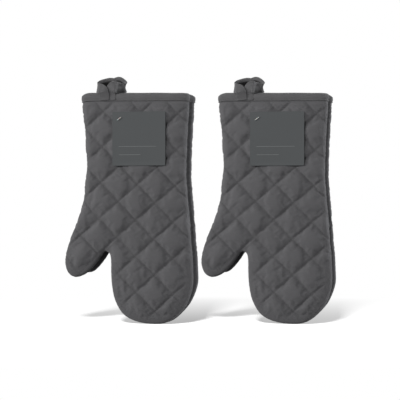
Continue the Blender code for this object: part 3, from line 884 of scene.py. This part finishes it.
seamRows = quiltSeams(outerSurface)
bindingRow = []
for where in rimPlaces()[6:-6]:
    here, further = (rimPoint(where, -binding["stitchOff"] - more) for more in (0, 1))
    bindingRow.append(((*here, binding["stitchHeight"]), (*(further - here), 0)))
seams = {
    "Stitches": (seamRows, stitch["length"], stitch["pitch"], "cotton_shell"),
    "BindingStitches": ([bindingRow], binding["stitchLength"], binding["stitchPitch"], "binding_tape"),
}
stitchMeshes = {
    half + label: stitchMesh(half + label, rows, side, length, pitch)
    for half, side in halves.items() for label, (rows, length, pitch, _) in seams.items()}
for hand, at in mittPlaces.items():
    for half in halves:
        for label, (*_, slotName) in seams.items():
            thread = place(f"{hand}{half}{label}", stitchMeshes[half + label], sewingThread, at)
            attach(thread, f"{hand}_mitt")
print("stitches:", len(seamRows), "rows on each panel")


# Hanging tape: sewn flat on the front binding, and a loop that has flopped over
tape = {
    "width": 14,
    "thickness": 1.7,
    "side": -41,
    "depth": -20.9,
    "pivotHeight": 0.1,
    "legLow": -9.3,
    "firstLeg": [(6.8, 0.7, 1), (6.8, 0.6, 0.5), (6.7, 0.3, 0)],
    "lastLeg": [(-5.2, -2.9, -0.62, (-0.36, 0, -0.93)), (-2.4, -3.1, -0.34, (-0.62, 0, -0.78)),
                (-1.9, -1.9, 0.26, (-0.9, 0, -0.43)), (-2.1, -0.6, 0.72, (-0.99, 0, -0.1)),
                (-1.9, 0, 1, (-1, 0, 0))],
    "loop": [
        # middle of the tape from the pivot, then the direction across it
        (6.8, -0.5, 2.7, 0.98, 0, -0.2),
        (7.9, -1.8, 5.7, 0.82, 0, -0.57),
        (11.6, -3, 8.5, 0.48, 0, -0.88),
        (15.2, -2.4, 8.3, 0.06, 0, -1),
        (17.8, 0.8, 7.6, -0.1, 0, -0.99),
        (21.4, 3.6, 6.9, -0.15, 0, -0.99),
        (26.3, 5.4, 8, -0.1, 0, -0.99),
        (22.8, 9.2, 12, -0.2, 0.2, -0.96),
        (16.8, 11, 16.4, 0, 0.5, -0.87),
        (9.5, 12.5, 15.3, 0, 0.7, -0.71),
        (3, 12.2, 15.6, 0, 0.64, -0.77),
        (-4, 11.3, 14.4, 0, 0.68, -0.73),
        (-10, 8.5, 12.2, -0.1, 0.6, -0.8),
        (-13.6, 4, 8.9, -0.2, 0.2, -0.96),
        (-10.5, -1.8, 7.2, -0.15, 0, -0.99),
    ],
    "steps": 7,
    "sewn": (-1.5, 3),  # depth from which it is sewn down, and over what length
    "sewnFlat": 0.65,
    "sewnEdges": 1.3,
    "ripple": 0.3,
    "rippleLength": 9,
    "cup": 0.35,
    "behind": (5, 4),  # from where it is the far side of the loop
    "lip": 7.5,  # the upper edge rolls back there
    "lipFrom": 0.45,
    # painted shade inside the far side of the loop
    "paintedInsideShade": 2.05,
    "frontTo": 7,  # the rest is for the near side
    "spread": (8, 12, 18, 23),  # the first leg flattens where it bends
    "spreadBy": 0.15,
    "hollow": (16, 17.5, 24.4, 26.2),  # painted shade on the bend beside the first leg
    "paintedBendShade": 2,
}


def tapeSection():
    # a flat tape with rounded edges and a stitched groove along each
    half, thick = tape["width"] / 2, tape["thickness"] / 2
    top = mirrored([(-1.0, 0.0), (-0.97, 0.6), (-0.9, 0.95), (-0.8, 1.0), (-0.72, 0.72),
                    (-0.64, 1.0), (-0.3, 1.08), (0.0, 1.1)])
    ring = top + [(x, -y) for x, y in reversed(top[1:-1])]
    return [(x * half, y * thick) for x, y in ring]


def hill(value, stops):
    return float(np.interp(value, stops, (0, 1, 1, 0)))


def tapeMesh(name, at):
    low = tape["legLow"] - tape["pivotHeight"]
    path = [(x, y, z * low, 1, 0, 0) for x, y, z in tape["firstLeg"]] + tape["loop"]
    path += [(x, y, z * low, *way) for x, y, z, way in tape["lastLeg"]]
    path = splined(path, tape["steps"])
    centres, across = path[:, :3], unit(path[:, 3:])
    travel = unit(np.gradient(centres, axis=0))
    across = unit(across - travel * (across * travel).sum(1)[:, None])
    out = np.cross(travel, across)
    along = lengthsAlong(centres)
    start = np.array([tape["side"], tape["depth"], tape["pivotHeight"]]) + np.array(at) / mm
    section = tapeSection()
    points, flats, inside = [], [], []
    for k, centre in enumerate(centres):
        flatten = 1 - tape["sewnFlat"] * ramp(-centre[2], *tape["sewn"])
        ripple = tape["ripple"] * noise.noise((along[k] / tape["rippleLength"], 4, 0))
        behind = ramp(centre[1], *tape["behind"])
        front = centre[1] < tape["frontTo"]
        wide = 1 + tape["spreadBy"] * front * hill(centre[0], tape["spread"])
        hollow = tape["paintedBendShade"] * front * hill(centre[0], tape["hollow"])
        for x, y in section:
            share = 2 * x / tape["width"]
            cup = tape["cup"] * (1 - share ** 2) * (centre[2] > 0)
            thin = 1 - (1 - flatten) * tape["sewnEdges"] * share ** 2
            lip = tape["lip"] * behind * max(0.0, -share - tape["lipFrom"]) ** 2
            off = y * flatten * thin + ripple + cup - lip
            points.append(start + centre + across[k] * x * wide + out[k] * off)
            flats.append((along[k], x))
            # painted shade: inside the far side of the loop, and on the bend beside the first leg
            if y > 0:
                inside.append(tape["paintedInsideShade"] * behind * ramp(share, -0.6, 0.3))
            else:
                inside.append(hollow * ramp(share, -0.4, 1))
    marks = {"crease": np.zeros(len(points)), "swell": np.full(len(points), 0.5), "fold": inside}
    return makeMesh(name, points, tubeFaces(len(centres), len(section)), flats, marks)


for hand, at in mittPlaces.items():
    hanger = place(f"{hand}HangingTape", tapeMesh(hand + "HangingTape", at), loopCloth, (0, 0, 0))
    pivot = at + Vector((tape["side"], tape["depth"], tape["pivotHeight"])) * mm
    pivot - Vector((0, 0, 1.5 * mm))
    pivot + Vector((0, 0, 4 * mm))
    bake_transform(hanger)
    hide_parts(f"{hand}_hanging_loop", f"{hand}_loop_base")
print("hanging tapes done")


# Card and its fastener
card = {
    "width": 77.4,
    "height": 75.1,
    "thickness": 0.5,
    "side": 7.6,
    "top": -26,
    "depth": -21.65,
    "corner": 1.2,
    "bow": 0.5,
    "hole": (10.2, 9.5),  # from its left and upper edges
    "holeRadius": 1.1,
    "color": (0.0700, 0.0745, 0.0770),
    # plain rules: left end, right end and height, from the card's upper left corner
    "rules": [(9.2, 64, 48.4), (9.8, 41, 59.9)],
    "ruleHeight": 0.35,
    "ruleColor": (0.30, 0.31, 0.31),
    "ruleShare": 0.55,
}


def arc(x, z, radius, degrees):
    return [(x + radius * math.cos(t), z + radius * math.sin(t)) for t in np.radians(degrees)]


def cardMesh():
    w, h, r = card["width"], card["height"], card["corner"]
    holeX, holeZ = card["hole"][0], -card["hole"][1]
    corners = ((w - r, -r, 0), (r, -r, 90), (r, r - h, 180), (w - r, r - h, 270))
    loop = [p for x, z, start in corners for p in arc(x, z, r, np.arange(start, start + 91, 15))]
    hole = arc(holeX, holeZ, card["holeRadius"], np.arange(0, 360, 18))
    grid = [(x, -z) for x in np.linspace(5, w - 5, 14) for z in np.linspace(5, h - 5, 14)
            if math.hypot(x - holeX, -z - holeZ) > card["holeRadius"] + 1.5]
    rim = [(len(loop) + k, len(loop) + (k + 1) % len(hole)) for k in range(len(hole))]
    made = delaunay_2d_cdt([Vector(p) for p in loop + hole + grid], rim,
                           [list(range(len(loop)))], 1, 1e-6)
    places = np.array([tuple(p) for p in made[0]])
    n = len(places)
    front = [tuple(f) for f in made[2]
             if np.linalg.norm(places[f].mean(0) - (holeX, holeZ)) > card["holeRadius"] * 0.99]
    bow = card["bow"] * ((2 * places[:, 0] / w - 1) ** 2 - 0.5) * ramp(-places[:, 1], 0, h)
    half = card["thickness"] / 2
    points = np.vstack([np.column_stack([places[:, 0] - w / 2, -bow + s * half, places[:, 1]])
                        for s in (-1, 1)])
    faces = front + [tuple(v + n for v in f) for f in front]
    faces += [(a, b, b + n, a + n) for a, b in openEdges(front)]
    mesh = makeMesh("Card", points + (card["side"], card["depth"], card["top"]), faces,
                    np.vstack([places, places]))
    mesh.shade_flat()
    return mesh


def cardMaterial():
    paint = Paint("printedCard")
    flat = paint.add("UVMap", uv_map="cloth")
    split = paint.add("SeparateXYZ", {0: flat})
    x, z = split * 100, split.of("Y") * 100
    facing = paint.add("SeparateXYZ", {0: paint.add("NewGeometry").of("Normal")}).of("Y")
    solid = paint.add("TexCoord").of("Object")
    fibre = paint.noise(solid, 900.0, 4.0, 0.65)
    cloud = paint.noise(solid, 30.0, 2.0)
    rules = 0.0
    for left, right, drop in card["rules"]:
        rules = ((x > left) * (x < right) * (abs(z + drop) < card["ruleHeight"] / 2)) + rules
    color = paint.tinted(card["color"], 0.94 + fibre * 0.1 + cloud * 0.04)
    color = paint.mix(rules * (facing < 0) * card["ruleShare"], color, card["ruleColor"])
    return paint.surface({"Base Color": color, "Roughness": 0.62 + fibre * 0.1,
                          "Normal": paint.bump(fibre * 0.03, 0.6), "Specular IOR Level": 0.15})


fastener = {
    "length": 7.5,
    "radius": 0.52,
    "tilt": 35,
    "gap": 0.3,  # between it and the card
    "threadRadius": 0.36,
    "sides": 12,
    # shares of half its length and of its radius; then depth and share of the thread's radius
    "bar": mirrored([(-1, 0.35), (-0.97, 0.75), (-0.9, 1), (-0.3, 1), (-0.14, 1.12),
                     (0, 1.2)]),
    "thread": [(0, 1.5), (0.3, 1.1), (0.7, 1), (1.1, 1), (1.5, 0.9)],
    "color": (0.46, 0.47, 0.47),
    "cloudColor": (0.40, 0.41, 0.42),
}


def fastenerMesh():
    # a bar and its thread, as round rods in one mesh
    tilt = math.radians(fastener["tilt"])
    left, top = card["side"] - card["width"] / 2, card["top"]
    depth = card["depth"] - card["thickness"] / 2 - fastener["gap"] - fastener["radius"]
    middle = np.array([left + card["hole"][0], depth, top - card["hole"][1]])
    along = np.array([math.cos(tilt), 0.0, math.sin(tilt)]) * fastener["length"] / 2
    rods = [
        [(middle + along * s, fastener["radius"] * r) for s, r in fastener["bar"]],
        [(middle + (0, d, 0), fastener["threadRadius"] * r) for d, r in fastener["thread"]],
    ]
    sides = fastener["sides"]
    points, faces, flats = [], [], []
    for rod in rods:
        faces += tubeFaces(len(rod), sides, len(points))
        travel = unit(np.gradient([p for p, _ in rod], axis=0))
        for k, (p, radius) in enumerate(rod):
            one = unit(np.cross(travel[k], (0.3, 0.2, 1.0)))
            points += ringRound(p, one, np.cross(travel[k], one), radius, sides)
            flats += [(k, v) for v in range(sides)]
    return makeMesh("Fastener", points, faces, flats)


def fastenerMaterial():
    paint = Paint("milkyPlastic")
    solid = paint.add("TexCoord").of("Object")
    cloud = paint.noise(solid, 700.0, 2.0)
    color = paint.mix(cloud, fastener["cloudColor"], fastener["color"])
    return paint.surface({"Base Color": color, "Roughness": 0.3 + cloud * 0.15,
                          "Normal": paint.bump(cloud * 0.02, 0.4),
                          "Subsurface Weight": 0.25, "Subsurface Scale": 0.001})


cardShape, cardPaint = cardMesh(), cardMaterial()
fastenerShape, fastenerPaint = fastenerMesh(), fastenerMaterial()
for hand, at in mittPlaces.items():
    sign = place(f"{hand}Card", cardShape, cardPaint, at)
    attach(sign, f"{hand}_label")
    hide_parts(f"{hand}_label_card")
    barb = place(f"{hand}Fastener", fastenerShape, fastenerPaint, at)
    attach(barb, f"{hand}_label")
    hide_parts(f"{hand}_tag_fastener")
print("cards done")


white = (1.0, 1.0, 1.0)
studio = {
    "turn": 16,
    "distance": 2.4,
    "frameWidth": 0.5616,  # metres across the picture at the mitts
    "aim": (-0.0093, -0.0027, -0.149),
    "floor": -0.3217,
    "worldLight": 0.11,
    # each mitt has its own set, as if it were photographed alone, and the floor has one:
    # name, place from the middle of the rim, height aimed at, size, watts, colour
    "lamps": [
        ("key", (-2.35, -1.1, 0.6), -0.14, 0.8, 52, (1, 0.995, 0.985)),
        ("front", (-0.9, -2.6, 0.9), -0.15, 1.2, 49, white),
        ("rim", (2.5, 0.4, 0.5), -0.15, 0.7, 74, (0.98, 0.99, 1)),
        ("back", (-0.9, 2.6, 0.9), -0.15, 1, 62, white),
    ],
    "floorLamps": [
        ("sun", (0.63, -4.46, 2.17), -0.3, 0.6, 760, white),
    ],
    "floorRadius": 2.6,
    "floorColor": 0.5,
    "floorBounce": 0.15,
    "floorGlow": 0.42,
    "shadowFrom": 0.05,  # the shadows fade into the background away from the mitts
    "shadowLength": 0.62,
}


def makeCamera():
    turn = math.radians(studio["turn"])
    back = Vector((math.sin(turn), -math.cos(turn), 0.0))
    data = bpy.data.cameras.new("camera")
    data.sensor_width = 36.0
    data.lens = 36.0 * studio["distance"] / studio["frameWidth"]
    camera = added("camera", data, Vector(studio["aim"]) + back * studio["distance"])
    camera.rotation_euler = back.to_track_quat("Z", "Y").to_euler()
    scene.camera = camera


def makeLights(floor):
    def group(name, pieces):
        kept = bpy.data.collections.new(name)
        for piece in pieces:
            kept.objects.link(piece)
        return kept

    def own(owner):
        return [p for p in bpy.data.objects if p.type == "MESH" and p.name.startswith(owner)]

    # owner, its middle, its lamps, what they light and what shades it
    sets = [("floor", Vector(), studio["floorLamps"], [floor], own(tuple(mittPlaces)))]
    for hand, middle in mittPlaces.items():
        sets.append((hand, middle, studio["lamps"], own(hand), own(hand)))
    for owner, middle, lamps, *linked in sets:
        lit, shading = map(group, (owner + "Lit", owner + "Shading"), linked)
        for name, at, height, size, watts, color in lamps:
            data = bpy.data.lights.new(name, "AREA")
            data.size = size
            data.energy = watts
            data.color = color
            lamp = added(f"{owner}{name}", data, middle + Vector(at))
            back = Vector(at) - Vector((0.0, 0.0, height))
            lamp.rotation_euler = back.to_track_quat("Z", "Y").to_euler()
            lamp.light_linking.receiver_collection = lit
            lamp.light_linking.blocker_collection = shading


def seenDirectly(paint):
    path = paint.add("LightPath")
    rays = path.of("Is Camera Ray") + path.of("Is Glossy Ray") + path.of("Is Transmission Ray")
    return rays.clipped()


def makeWorld():
    paint = Paint("studio", True)
    light = paint.add("Background", {"Color": white, "Strength": studio["worldLight"]})
    plain = paint.add("Background", {"Color": white, "Strength": 1.0})
    both = paint.add("MixShader", {0: seenDirectly(paint), 1: light, 2: plain})
    paint.add("OutputWorld", {"Surface": both})
    scene.world = paint.kept


def makeFloor():
    edge = arc(0.0, 0.0, studio["floorRadius"], np.arange(0, 360, 7.5))
    mesh = bpy.data.meshes.new("floor")
    mesh.from_pydata([(x, y, 0.0) for x, y in edge], [], [tuple(range(len(edge)))])
    paint = Paint("paleFloor")
    solid = paint.add("TexCoord").of("Object")
    far = paint.add("VectorMath", {0: solid}, "Value", operation="LENGTH")
    fade = ((far - studio["shadowFrom"]) / studio["shadowLength"]).clipped()
    plain = paint.add("BsdfDiffuse", {"Color": (studio["floorColor"],) * 3})
    dim = paint.add("BsdfDiffuse", {"Color": (studio["floorBounce"],) * 3})
    glow = paint.add("Emission", {"Color": white, "Strength": studio["floorGlow"]})
    lifted = paint.add("AddShader", {0: plain, 1: glow})
    bare = paint.add("Emission", {"Color": white, "Strength": 1.0})
    shown = paint.add("MixShader", {0: fade, 1: lifted, 2: bare})
    both = paint.add("MixShader", {0: seenDirectly(paint), 1: dim, 2: shown})
    paint.add("OutputMaterial", {"Surface": both})
    mesh.materials.append(paint.kept)
    floor = added("floor", mesh, (0.0, 0.0, studio["floor"]))
    return floor


makeCamera()
makeLights(makeFloor())
makeWorld()
scene.view_settings.view_transform = "Standard"
print("studio done")

bpy.context.view_layer.update()
